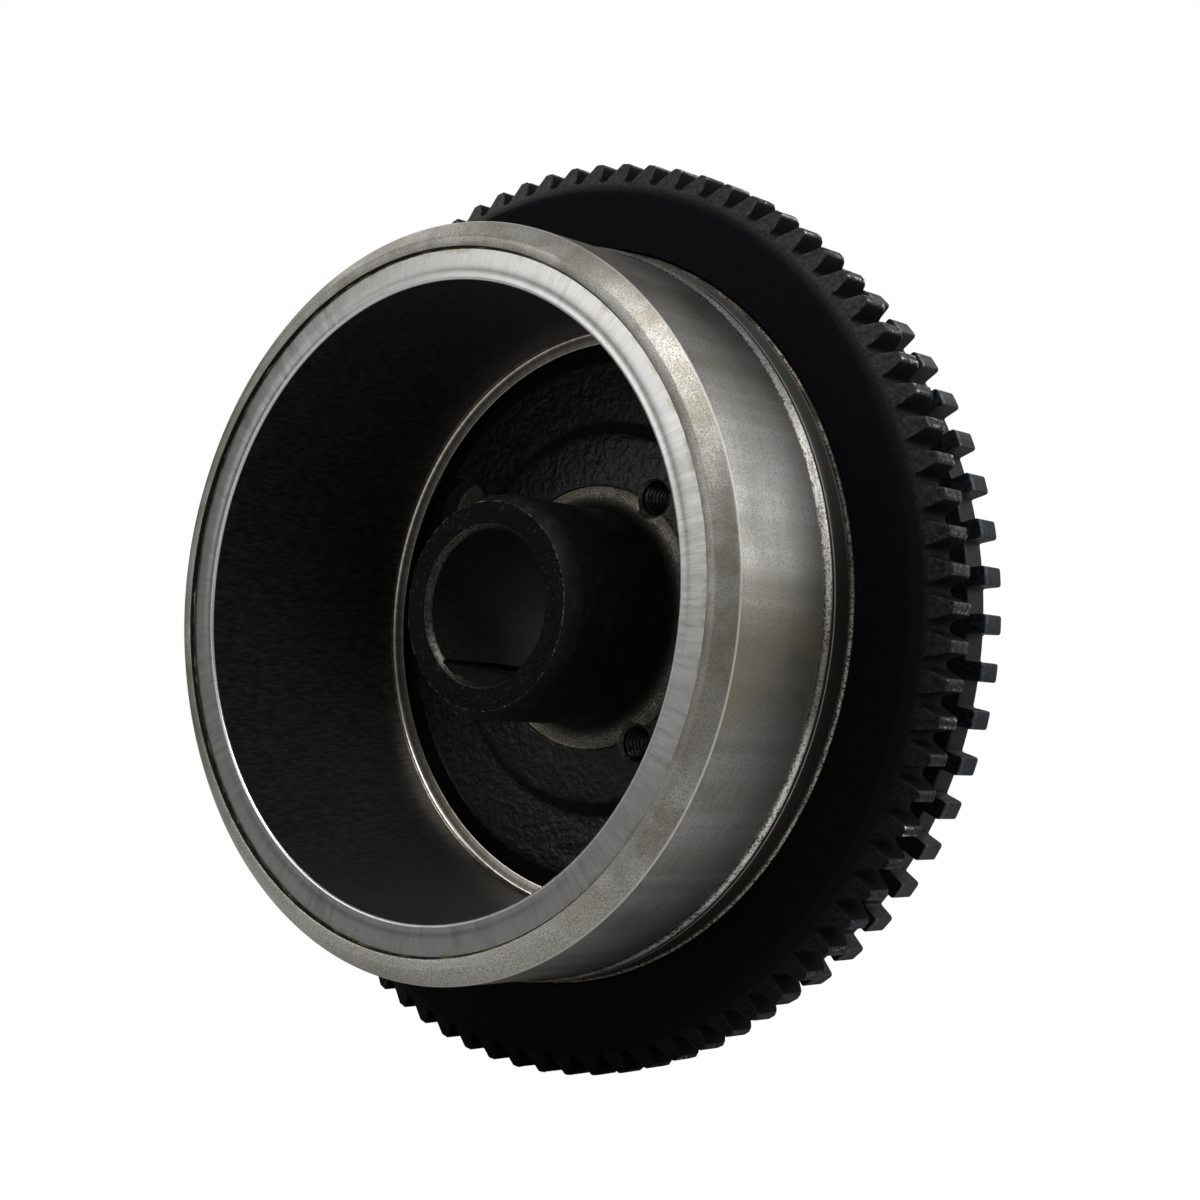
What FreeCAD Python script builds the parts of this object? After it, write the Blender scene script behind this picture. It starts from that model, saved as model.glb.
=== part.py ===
"""Magneto flywheel of a small engine: an outer rotor with starter and trigger rings.

Frame: the spin axis is +Y, +Z is up and +X to the right. The open mouth of the
bell faces -Y and the engine side faces +Y. The origin is on the spin axis, half way
along the flywheel. Depths are measured from the bell's front face towards the
engine, radii from the spin axis, and angles from +X towards +Z. Sizes are in mm.
"""
import FreeCAD, Part
import math
import os

OVERALL_DEPTH = 59.4            # bell's front face to the hub's rear face

# Bell: drum wall, thick back plate, boss and hub, turned from one forging
RIM_R = 58.65                   # outer edge of the flat front face
DRUM_R = 61.5                   # main outside cylinder
BELL_BORE_R = 57.0              # inside of the drum wall, behind the magnets
RIM_CHAMFER_DEPTH = 2.4
DRUM_END = 23.3                 # where the rough step up to the gear land starts
STEP_END = 24.8
LAND_R = 62.15                  # land between the step and the starter ring
SEAT_R = 62.5                   # seats of the starter ring and of the trigger ring
SHOULDER_R = 64.5               # shoulder that both rings are pressed against
FLOOR_DEPTH = 45.2              # cast floor inside the bell
FLOOR_R = 46.4                  # outer edge of that floor
FLOOR_EDGE_RADIUS = 1.2
GROOVE_DEPTH = 49.0             # bottom of the groove round the floor
BACK_RELIEF_DEPTH = 1.2         # turned relief in the back plate's rear face
BACK_RELIEF_INNER_R = 34.0
BACK_RELIEF_OUTER_R = 57.5

# Boss and hub tube
BOSS_FOOT_R = 34.2
BOSS_EDGE_R = 32.6
BOSS_EDGE_DEPTH = 43.0
BOSS_FACE_DEPTH = 41.9          # inner edge of the slightly coned cast face
SPOT_FACE_R = 23.1              # machined ring round the tube's foot
SPOT_FACE_DEPTH = 42.2
TUBE_R = 18.87
TUBE_FOOT_RADIUS = 3.2
TUBE_END_DEPTH = 14.7
TUBE_CHAMFER_R = 17.58
TUBE_CHAMFER_DEPTH = 17.9
HUB_REAR_R = 31.0

# Crankshaft bore: straight pilot at the front, 1:8 taper opening towards the engine
BORE_R = 12.7
BORE_CHAMFER = 1.0
PILOT_LENGTH = 12.0
TAPER_RATIO = 8.0               # length over change of diameter
KEYWAY_WIDTH = 4.0
KEYWAY_CUT = 1.2                # depth below the taper's surface
KEYWAY_ANGLE = -129.6

# Threaded holes for the puller, at the M6 thread's inner diameter
PULLER_COUNT = 3
PULLER_PITCH_R = 24.4
PULLER_FIRST_ANGLE = 54.1
PULLER_R = 2.5
PULLER_SINK_R = 3.5

# Flat-bottomed pocket milled into the floor to balance the wheel
POCKET_R = 7.5
POCKET_PITCH_R = 41.0
POCKET_ANGLE = 148.7
POCKET_BOTTOM = 52.6

# Magnets and what holds them
MAGNET_COUNT = 12
MAGNET_ARC = 26.4               # degrees
MAGNET_INNER_R = 52.3
MAGNET_OUTER_R = 56.95
MAGNET_FRONT = 3.0
MAGNET_REAR = 44.4
CAGE_RIB_ARC = 3.2              # degrees

# Sleeve drawn from thin sheet, with a lip at each end
SLEEVE_R = 51.66
SLEEVE_SHEET = 0.6
SLEEVE_LIP_R = 56.8
SLEEVE_LIP_DEPTH = 0.5
SLEEVE_BEND = 0.7
SLEEVE_REAR_DEPTH = 45.3
SLEEVE_REAR_LIP_R = 49.2
POTTING_DEPTH = 0.9             # the filled gap lies a little below the sleeve's lip

# Starter ring gear
GEAR_TEETH = 84
GEAR_FIRST_ANGLE = 1.7
GEAR_TIP_R = 78.0
GEAR_ROOT_R = 74.2
GEAR_TIP_WIDTH = 1.5
GEAR_ROOT_RADIUS = 1.0
GEAR_FRONT = 30.3
GEAR_REAR = 38.9
GEAR_LEAD_IN_R = 72.4           # where the lead-in bevel starts on the front face
GEAR_LEAD_IN_DEPTH = 3.4
GEAR_REAR_BEVEL = 0.5

# Trigger ring for the crank position sensor
TRIGGER_POSITIONS = 60
TRIGGER_FIRST_ANGLE = 2.44
TRIGGER_MISSING = (30, 31)      # two teeth left out mark the reference position
TRIGGER_TIP_R = 73.2
TRIGGER_ROOT_R = 70.0
TRIGGER_TOOTH_WIDTH = 3.1
TRIGGER_FRONT = 51.3
TRIGGER_REAR = 56.5

AXIS = FreeCAD.Vector(0, 1, 0)
ORIGIN = FreeCAD.Vector(0, 0, 0)


def station(depth):
    """Y of a depth behind the bell's front face."""
    return depth - OVERALL_DEPTH / 2


def half_section(radius, depth):
    """Point of a half section, which lies in the XY plane."""
    return FreeCAD.Vector(radius, station(depth), 0)


def around(radius, angle, depth):
    """Point at a radius, an angle in degrees and a depth."""
    turn = math.radians(angle)
    return FreeCAD.Vector(radius * math.cos(turn), station(depth), radius * math.sin(turn))


def quarter_middle(centre, radius, direction):
    """Middle of a quarter arc in a half section; direction is the sign of each side."""
    reach = radius * math.sqrt(0.5)
    return (centre[0] + direction[0] * reach, centre[1] + direction[1] * reach)


def turned(outline):
    """Solid of revolution. A three-point entry (middle, end) in the outline is an arc."""
    edges = []
    here = outline[0]
    for step in outline[1:] + [outline[0]]:
        if isinstance(step[0], tuple):
            middle, end = step
            arc = Part.Arc(half_section(*here), half_section(*middle), half_section(*end))
            edges.append(arc.toShape())
        else:
            end = step
            edges.append(Part.makeLine(half_section(*here), half_section(*end)))
        here = end
    face = Part.Face(Part.Wire(edges))
    return face.revolve(ORIGIN, AXIS, 360)


def rod(radius, start, end, angle=0.0, pitch_r=0.0):
    """Cylinder parallel to the spin axis between two depths."""
    return Part.makeCylinder(radius, end - start, around(pitch_r, angle, start), AXIS)


def arc_block(inner_r, outer_r, front, rear, middle_angle, arc):
    """Part of a ring, centred on an angle."""
    section = [
        half_section(inner_r, front),
        half_section(outer_r, front),
        half_section(outer_r, rear),
        half_section(inner_r, rear),
    ]
    face = Part.Face(Part.makePolygon(section + section[:1]))
    block = face.revolve(ORIGIN, AXIS, arc)
    # A positive turn about +Y goes from +X towards -Z, so the angle changes sign.
    block.rotate(ORIGIN, AXIS, -middle_angle - arc / 2)
    return block


def bell_outline():
    """Half section of the bell, hub and bore, starting at the rim's inner edge."""
    back = TRIGGER_REAR
    relief = back - BACK_RELIEF_DEPTH
    taper_start = TUBE_END_DEPTH + BORE_CHAMFER + PILOT_LENGTH
    taper_end_r = BORE_R + (OVERALL_DEPTH - taper_start) / TAPER_RATIO / 2
    foot_centre = (TUBE_R + TUBE_FOOT_RADIUS, SPOT_FACE_DEPTH - TUBE_FOOT_RADIUS)
    edge_centre = (FLOOR_R - FLOOR_EDGE_RADIUS, FLOOR_DEPTH + FLOOR_EDGE_RADIUS)
    return [
        (BELL_BORE_R, 0),
        (RIM_R, 0),
        (DRUM_R, RIM_CHAMFER_DEPTH),
        (DRUM_R, DRUM_END),
        (LAND_R, STEP_END),
        (LAND_R, GEAR_FRONT - 0.4),
        (SEAT_R, GEAR_FRONT),
        (SEAT_R, GEAR_REAR),
        (SHOULDER_R, GEAR_REAR),
        (SHOULDER_R, TRIGGER_FRONT),
        (SEAT_R, TRIGGER_FRONT),
        (SEAT_R, back),
        (BACK_RELIEF_OUTER_R, back),
        (BACK_RELIEF_OUTER_R - 1.0, relief),
        (BACK_RELIEF_INNER_R, relief),
        (HUB_REAR_R, OVERALL_DEPTH - 1.0),
        (HUB_REAR_R - 1.0, OVERALL_DEPTH),
        (taper_end_r, OVERALL_DEPTH),
        (BORE_R, taper_start),
        (BORE_R, TUBE_END_DEPTH + BORE_CHAMFER),
        (BORE_R + BORE_CHAMFER, TUBE_END_DEPTH),
        (TUBE_CHAMFER_R, TUBE_END_DEPTH),
        (TUBE_R, TUBE_CHAMFER_DEPTH),
        (TUBE_R, foot_centre[1]),
        (quarter_middle(foot_centre, TUBE_FOOT_RADIUS, (-1, 1)), (foot_centre[0], SPOT_FACE_DEPTH)),
        (SPOT_FACE_R, SPOT_FACE_DEPTH),
        (SPOT_FACE_R, BOSS_FACE_DEPTH),
        (BOSS_EDGE_R, BOSS_EDGE_DEPTH),
        (BOSS_FOOT_R, FLOOR_DEPTH),
        (edge_centre[0], FLOOR_DEPTH),
        (quarter_middle(edge_centre, FLOOR_EDGE_RADIUS, (1, -1)), (FLOOR_R, edge_centre[1])),
        (FLOOR_R, GROOVE_DEPTH),
        (BELL_BORE_R, GROOVE_DEPTH),
    ]


def keyway():
    """Slot beside the bore whose bottom runs parallel to the taper, out through the mouth."""
    taper_start = TUBE_END_DEPTH + BORE_CHAMFER + PILOT_LENGTH
    front = TUBE_END_DEPTH - 1
    back = OVERALL_DEPTH + 1
    bottom = BORE_R + KEYWAY_CUT
    section = [
        half_section(0, front),
        half_section(bottom + (front - taper_start) / TAPER_RATIO / 2, front),
        half_section(bottom + (back - taper_start) / TAPER_RATIO / 2, back),
        half_section(0, back),
    ]
    face = Part.Face(Part.makePolygon(section + section[:1]))
    slot = face.extrude(FreeCAD.Vector(0, 0, KEYWAY_WIDTH))
    slot.translate(FreeCAD.Vector(0, 0, -KEYWAY_WIDTH / 2))
    slot.rotate(ORIGIN, AXIS, -KEYWAY_ANGLE)
    return slot


def puller_hole(number):
    """Through hole for the puller's screw, countersunk on the boss."""
    angle = PULLER_FIRST_ANGLE + number * 360.0 / PULLER_COUNT
    mouth = SPOT_FACE_DEPTH - 0.5
    drill = rod(PULLER_R, mouth, OVERALL_DEPTH, angle, PULLER_PITCH_R)
    sink_length = PULLER_SINK_R - PULLER_R + 0.5
    top = around(PULLER_PITCH_R, angle, mouth)
    sink = Part.makeCone(PULLER_SINK_R + 0.5, PULLER_SINK_R - sink_length + 0.5, sink_length, top, AXIS)
    return drill.fuse(sink)


def rotor_bell():
    bell = turned(bell_outline())
    bell = bell.cut(keyway())
    bell = bell.cut(rod(POCKET_R, FLOOR_DEPTH - 1, POCKET_BOTTOM, POCKET_ANGLE, POCKET_PITCH_R))
    for number in range(PULLER_COUNT):
        bell = bell.cut(puller_hole(number))
    return bell


def magnet(number):
    """One arc-shaped ferrite magnet."""
    angle = number * 360.0 / MAGNET_COUNT
    return arc_block(MAGNET_INNER_R, MAGNET_OUTER_R, MAGNET_FRONT, MAGNET_REAR, angle, MAGNET_ARC)


def magnet_cage():
    """Rear ring with a rib between each two magnets."""
    cage = turned([
        (MAGNET_INNER_R, MAGNET_REAR),
        (MAGNET_OUTER_R, MAGNET_REAR),
        (MAGNET_OUTER_R, GROOVE_DEPTH),
        (MAGNET_INNER_R, GROOVE_DEPTH),
    ])
    for number in range(MAGNET_COUNT):
        angle = (number + 0.5) * 360.0 / MAGNET_COUNT
        rib = arc_block(MAGNET_INNER_R, MAGNET_OUTER_R, MAGNET_FRONT, MAGNET_REAR, angle, CAGE_RIB_ARC)
        cage = cage.fuse(rib)
    return cage.removeSplitter()


def magnet_sleeve():
    """Thin sleeve over the magnets, turned outwards at the mouth and inwards at the floor."""
    lip_back = SLEEVE_LIP_DEPTH + SLEEVE_SHEET
    bend_centre = (SLEEVE_R + SLEEVE_BEND, SLEEVE_LIP_DEPTH + SLEEVE_BEND)
    rear_back = SLEEVE_REAR_DEPTH + SLEEVE_SHEET
    return turned([
        (SLEEVE_LIP_R, SLEEVE_LIP_DEPTH),
        (bend_centre[0], SLEEVE_LIP_DEPTH),
        (quarter_middle(bend_centre, SLEEVE_BEND, (-1, -1)), (SLEEVE_R, bend_centre[1])),
        (SLEEVE_R, SLEEVE_REAR_DEPTH),
        (SLEEVE_REAR_LIP_R, SLEEVE_REAR_DEPTH),
        (SLEEVE_REAR_LIP_R, rear_back),
        (SLEEVE_R + SLEEVE_SHEET, rear_back),
        (SLEEVE_R + SLEEVE_SHEET, bend_centre[1]),
        (quarter_middle(bend_centre, SLEEVE_BEND - SLEEVE_SHEET, (-1, -1)), (bend_centre[0], lip_back)),
        (SLEEVE_LIP_R, lip_back),
    ])


def potting_ring():
    """Potting compound in front of the magnets and in the gap round the sleeve's lip."""
    lip_back = SLEEVE_LIP_DEPTH + SLEEVE_SHEET
    inner_r = SLEEVE_R + SLEEVE_BEND
    return turned([
        (SLEEVE_LIP_R, POTTING_DEPTH),
        (MAGNET_OUTER_R, POTTING_DEPTH),
        (MAGNET_OUTER_R, MAGNET_FRONT),
        (inner_r, MAGNET_FRONT),
        (inner_r, lip_back),
        (SLEEVE_LIP_R, lip_back),
    ])


def toothed_blank(edges, bore_r, front, rear):
    """Ring with the given closed outer outline and a round bore."""
    bore = Part.Wire([Part.makeCircle(bore_r, FreeCAD.Vector(0, station(front), 0), AXIS)])
    outside = Part.Face(Part.Wire(edges))
    blank = outside.extrude(FreeCAD.Vector(0, rear - front, 0))
    hole = Part.Face(bore).extrude(FreeCAD.Vector(0, rear - front, 0))
    return blank.cut(hole)


def gear_outline():
    """Outer outline of the starter ring: straight flanks and round tooth roots."""
    pitch = 360.0 / GEAR_TEETH
    tip_half = math.degrees(GEAR_TIP_WIDTH / 2 / GEAR_TIP_R)
    foot_r = GEAR_ROOT_R + GEAR_ROOT_RADIUS
    foot_half = pitch / 2 - math.degrees(GEAR_ROOT_RADIUS / foot_r)
    edges = []
    for number in range(GEAR_TEETH):
        middle = GEAR_FIRST_ANGLE + number * pitch
        tip = [around(GEAR_TIP_R, middle + side * tip_half, GEAR_FRONT) for side in (-1, 0, 1)]
        foot = around(foot_r, middle + foot_half, GEAR_FRONT)
        root = around(GEAR_ROOT_R, middle + pitch / 2, GEAR_FRONT)
        next_foot = around(foot_r, middle + pitch - foot_half, GEAR_FRONT)
        next_tip = around(GEAR_TIP_R, middle + pitch - tip_half, GEAR_FRONT)
        edges.append(Part.Arc(*tip).toShape())
        edges.append(Part.makeLine(tip[2], foot))
        edges.append(Part.Arc(foot, root, next_foot).toShape())
        edges.append(Part.makeLine(next_foot, next_tip))
    return edges


def ring_gear():
    blank = toothed_blank(gear_outline(), SEAT_R, GEAR_FRONT, GEAR_REAR)
    envelope = turned([
        (SEAT_R - 1, GEAR_FRONT),
        (GEAR_LEAD_IN_R, GEAR_FRONT),
        (GEAR_TIP_R + 0.1, GEAR_FRONT + GEAR_LEAD_IN_DEPTH),
        (GEAR_TIP_R + 0.1, GEAR_REAR - GEAR_REAR_BEVEL),
        (GEAR_TIP_R - GEAR_REAR_BEVEL, GEAR_REAR),
        (SEAT_R - 1, GEAR_REAR),
    ])
    return blank.common(envelope)


def trigger_outline():
    """Outer outline of the trigger ring: square teeth at even positions."""
    pitch = 360.0 / TRIGGER_POSITIONS
    half = math.degrees(TRIGGER_TOOTH_WIDTH / 2 / TRIGGER_TIP_R)
    present = [n for n in range(TRIGGER_POSITIONS) if n not in TRIGGER_MISSING]
    edges = []
    for place, number in enumerate(present):
        following = present[(place + 1) % len(present)]
        middle = TRIGGER_FIRST_ANGLE + number * pitch
        space = ((following - number) % TRIGGER_POSITIONS) * pitch
        tip = [around(TRIGGER_TIP_R, middle + side * half, TRIGGER_FRONT) for side in (-1, 0, 1)]
        root = [around(TRIGGER_ROOT_R, middle + turn, TRIGGER_FRONT) for turn in (half, space / 2, space - half)]
        next_tip = around(TRIGGER_TIP_R, middle + space - half, TRIGGER_FRONT)
        edges.append(Part.Arc(*tip).toShape())
        edges.append(Part.makeLine(tip[2], root[0]))
        edges.append(Part.Arc(*root).toShape())
        edges.append(Part.makeLine(root[2], next_tip))
    return edges


def trigger_ring():
    return toothed_blank(trigger_outline(), SEAT_R, TRIGGER_FRONT, TRIGGER_REAR)


def main():
    nodes = {
        "rotor_bell": rotor_bell(),
        "magnet_cage": magnet_cage(),
        "magnet_sleeve": magnet_sleeve(),
        "potting_ring": potting_ring(),
        "ring_gear": ring_gear(),
        "trigger_ring": trigger_ring(),
    }
    for number in range(MAGNET_COUNT):
        nodes["magnet_%02d" % (number + 1)] = magnet(number)
    os.makedirs("parts", exist_ok=True)
    for name, shape in nodes.items():
        print(name, shape.isValid(), len(shape.Solids), round(shape.Volume), shape.BoundBox)
        shape.exportStep("parts/%s.step" % name)


main()
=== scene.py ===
"""Looks of the flywheel: detailed pieces round the CAD frame, materials, light and camera.

Positions are in metres in the row frame: +Y is the spin axis, the bell's mouth faces -Y
and +Z is up. Lengths named in millimetres are turned into metres by MM.
"""

from math import atan2, ceil, cos, degrees, hypot, pi, radians, sin

import bmesh
import bpy
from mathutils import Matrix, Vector, noise


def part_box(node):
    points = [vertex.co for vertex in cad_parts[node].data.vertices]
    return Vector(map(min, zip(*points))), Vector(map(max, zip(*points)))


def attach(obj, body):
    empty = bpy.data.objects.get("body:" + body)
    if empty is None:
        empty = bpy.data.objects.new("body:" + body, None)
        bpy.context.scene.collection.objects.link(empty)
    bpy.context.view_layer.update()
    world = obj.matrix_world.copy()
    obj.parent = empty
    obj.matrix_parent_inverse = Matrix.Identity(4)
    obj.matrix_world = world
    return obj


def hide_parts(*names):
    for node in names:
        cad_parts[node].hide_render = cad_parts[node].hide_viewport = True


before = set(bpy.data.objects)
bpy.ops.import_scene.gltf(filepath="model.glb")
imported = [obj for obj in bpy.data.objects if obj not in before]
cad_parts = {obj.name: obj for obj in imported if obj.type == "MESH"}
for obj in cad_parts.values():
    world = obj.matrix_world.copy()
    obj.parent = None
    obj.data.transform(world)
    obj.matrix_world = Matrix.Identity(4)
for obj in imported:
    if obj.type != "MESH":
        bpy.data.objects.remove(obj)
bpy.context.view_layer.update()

MM = 0.001
FRONT_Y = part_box("rotor_bell")[0].y     # the bell's front face; depths are measured from it
ROUND = 2 * pi


def depth_of(y):
    return (y - FRONT_Y) / MM


def front_of(node):
    return depth_of(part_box(node)[0].y)


def rear_of(node):
    return depth_of(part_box(node)[1].y)


# ---- sizes in millimetres
RIM_R = 58.65
DRUM_R = 61.5
BELL_BORE_R = 57.0
RIM_CHAMFER = 2.4
DRUM_END = 23.3
STEP_END = 24.8
LAND_R = 62.15
SEAT_R = 62.5
SEAT_CHAMFER = 0.4
SHOULDER_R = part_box("rotor_bell")[1].x / MM
FLOOR = 45.2
FLOOR_R = 46.4
GROOVE = rear_of("magnet_cage")
RELIEF_INNER_R = 34.0
RELIEF_OUTER_R = 57.5
RELIEF_DEPTH = 1.2
BOSS_FOOT_R = 34.2
BOSS_EDGE_R = 32.6
BOSS_EDGE = 43.0
BOSS_FACE = 41.9
SPOT_R = 23.1
SPOT = 42.2
TUBE_R = 18.87
TUBE_FOOT_RADIUS = 3.2
TUBE_END = 14.7
TUBE_CHAMFER_R = 17.58
TUBE_CHAMFER_END = 17.9
CORNER_CUT = 0.25
FLOOR_RADIUS = 1.2
FOOT_STEPS = 8
LATHE_SEGMENTS = 480
HUB_REAR_R = 31.0
HUB_REAR = rear_of("rotor_bell")
BORE_R = 12.7
BORE_CHAMFER = 1.0
PILOT_LENGTH = 12.0
TAPER_RATIO = 8.0
KEYWAY_WIDTH = 4.0
KEYWAY_CUT = 1.2
KEYWAY_ANGLE = -129.6
PULLER_ANGLES = (54.1, 174.1, 294.1)
PULLER_PITCH_R = 24.4
PULLER_SINK_R = 3.5
THREAD_MINOR_R = 2.5
THREAD_MAJOR_R = 3.0
THREAD_PITCH = 1.0
THREAD_RUN_OUT = 0.9
PULLER_SINK_END = SPOT + PULLER_SINK_R - THREAD_MAJOR_R
THREAD_LINER = 0.15
POCKET_R = 7.5
POCKET_PITCH_R = 41.0
POCKET_ANGLE = 148.7
POCKET_BOTTOM = 52.6

SLEEVE_R = 51.66
SLEEVE_SHEET = 0.6
SLEEVE_LIP_R = 56.8
SLEEVE_LIP = front_of("magnet_sleeve")
SLEEVE_BEND = 0.7
SLEEVE_CORNER = 0.7
SLEEVE_REAR = rear_of("magnet_sleeve") - SLEEVE_SHEET
SLEEVE_REAR_LIP_R = 49.2

GEAR_TEETH = 84
GEAR_FIRST_ANGLE = 1.7
GEAR_TIP_R = 78.0
GEAR_ROOT_R = 74.2
GEAR_TIP_WIDTH = 1.5
GEAR_ROOT_RADIUS = 1.0
GEAR_FOOT_R = GEAR_ROOT_R + GEAR_ROOT_RADIUS
GEAR_TIP_ROUND = 0.3
GEAR_LEAD_IN_R = 72.4
GEAR_LEAD_IN = 3.4
GEAR_REAR_BEVEL = 0.5
GEAR_BEVEL_STEPS = 26
GEAR_FRONT = front_of("ring_gear")
GEAR_REAR = rear_of("ring_gear")

TRIGGER_POSITIONS = 60
TRIGGER_MISSING = (30, 31)
TRIGGER_FIRST_ANGLE = 2.44
TRIGGER_TIP_R = 73.2
TRIGGER_ROOT_R = 70.0
TRIGGER_FLANGE_R = 68.6
TRIGGER_TOOTH_WIDTH = 3.1
TRIGGER_FRONT = front_of("trigger_ring")
TRIGGER_REAR = rear_of("trigger_ring")


# ---- mesh helpers
def place(radius, angle, depth):
    """Point at a radius and depth in millimetres and an angle in radians."""
    return Vector((radius * cos(angle) * MM, FRONT_Y + depth * MM, radius * sin(angle) * MM))


def arc_points(centre, radius, start, end, count):
    """Points of an arc in a half section; angles in degrees from the radial direction."""
    turns = [radians(start + (end - start) * i / count) for i in range(count + 1)]
    return [(centre[0] + radius * cos(t), centre[1] + radius * sin(t)) for t in turns]


def softened(outline, radius):
    """The closed outline with its corners rounded. Entries are (r, depth, finish)."""
    result = []
    for i, (r, d, finish) in enumerate(outline):
        before, after = outline[i - 1], outline[(i + 1) % len(outline)]
        here = Vector((r, d))
        back = Vector(before[:2]) - here
        ahead = Vector(after[:2]) - here
        turn = pi - back.angle(ahead)
        cut = min(radius, back.length * 0.4, ahead.length * 0.4)
        if turn < radians(12):
            result.append((r, d, finish))
            continue
        start = here + back.normalized() * cut
        end = here + ahead.normalized() * cut
        middle = (start + end) / 4 + here / 2
        result.append((start.x, start.y, finish))
        result.append((middle.x, middle.y, finish))
        result.append((end.x, end.y, after[2]))
    return result


def divided(outline, steps):
    """The closed outline with long runs cut into steps, whose length the finish sets."""
    result = []
    for i, (r, d, finish) in enumerate(outline):
        pr, pd, _ = outline[i - 1]
        length = hypot(r - pr, d - pd)
        count = max(1, ceil(length / steps.get(finish, 3.0)))
        for k in range(1, count + 1):
            share = k / count
            result.append((pr + (r - pr) * share, pd + (d - pd) * share, finish))
    return result


def new_object(name, verts, faces, materials, slots=None):
    """Links a new mesh object; slots are the faces' material numbers."""
    mesh = bpy.data.meshes.new(name)
    mesh.from_pydata(verts, [], faces)
    for material in materials:
        mesh.materials.append(material)
    if slots:
        mesh.polygons.foreach_set("material_index", slots)
    obj = bpy.data.objects.new(name, mesh)
    bpy.context.scene.collection.objects.link(obj)
    return obj


def tidy_mesh(obj, sharp_degrees=32):
    """Welds, points the faces outwards and marks the sharp edges."""
    mesh = obj.data
    work = bmesh.new()
    work.from_mesh(mesh)
    bmesh.ops.remove_doubles(work, verts=work.verts, dist=1e-7)
    bmesh.ops.recalc_face_normals(work, faces=work.faces)
    work.to_mesh(mesh)
    work.free()
    mesh.shade_smooth()
    mesh.set_sharp_from_angle(angle=radians(sharp_degrees))


def grid_faces(rings, count):
    """Quads of a grid of rings with count vertices each, closed both ways."""
    faces = []
    for k in range(rings):
        a, b = k * count, (k + 1) % rings * count
        for i in range(count):
            j = (i + 1) % count
            faces.append((a + i, a + j, b + j, b + i))
    return faces


def lathe(name, outline, segments, materials, finishes):
    """Closed solid of revolution. Each outline entry's finish names the run that ends there."""
    verts = []
    for s in range(segments):
        angle = ROUND * s / segments
        verts += [place(r, angle, d) for r, d, _ in outline]
    slots = [finishes.index(finish) for _, _, finish in outline[1:] + outline[:1]] * segments
    obj = new_object(name, verts, grid_faces(segments, len(outline)), materials, slots)
    tidy_mesh(obj)
    return obj


def cutter(name, outline, angle, pitch_r, material, segments=64):
    """Turned cutter on its own axis, parallel to the spin axis at an angle in degrees."""
    count = len(outline)
    turn = radians(angle)
    centre = Vector((pitch_r * cos(turn), 0, pitch_r * sin(turn))) * MM
    verts = []
    for s in range(segments):
        verts += [place(r, ROUND * s / segments, d) + centre for r, d in outline]
    first, last = len(verts), len(verts) + 1
    verts.append(place(0, 0, outline[0][1]) + centre)
    verts.append(place(0, 0, outline[-1][1]) + centre)
    faces = []
    for s in range(segments):
        a, b = s * count, (s + 1) % segments * count
        faces.append((first, a, b))
        faces.append((last, b + count - 1, a + count - 1))
        for i in range(count - 1):
            faces.append((a + i, a + i + 1, b + i + 1, b + i))
    obj = new_object(name, verts, faces, [material])
    tidy_mesh(obj)
    return obj


def cut_away(obj, tool):
    """Cuts the tool's shape out of obj and removes the tool."""
    cut = obj.modifiers.new("cut", "BOOLEAN")
    cut.operation = "DIFFERENCE"
    cut.solver = "EXACT"
    cut.material_mode = "TRANSFER"
    cut.object = tool
    graph = bpy.context.evaluated_depsgraph_get()
    mesh = bpy.data.meshes.new_from_object(obj.evaluated_get(graph))
    obj.modifiers.clear()
    old = obj.data
    obj.data = mesh
    bpy.data.meshes.remove(old)
    bpy.data.objects.remove(tool)


def joined(objs):
    """Joins the objects into the first one."""
    with bpy.context.temp_override(active_object=objs[0], selected_editable_objects=objs):
        bpy.ops.object.join()
    return objs[0]


# ---- material nodes
def new_node(tree, kind):
    return tree.nodes.new("ShaderNode" + kind)


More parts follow.
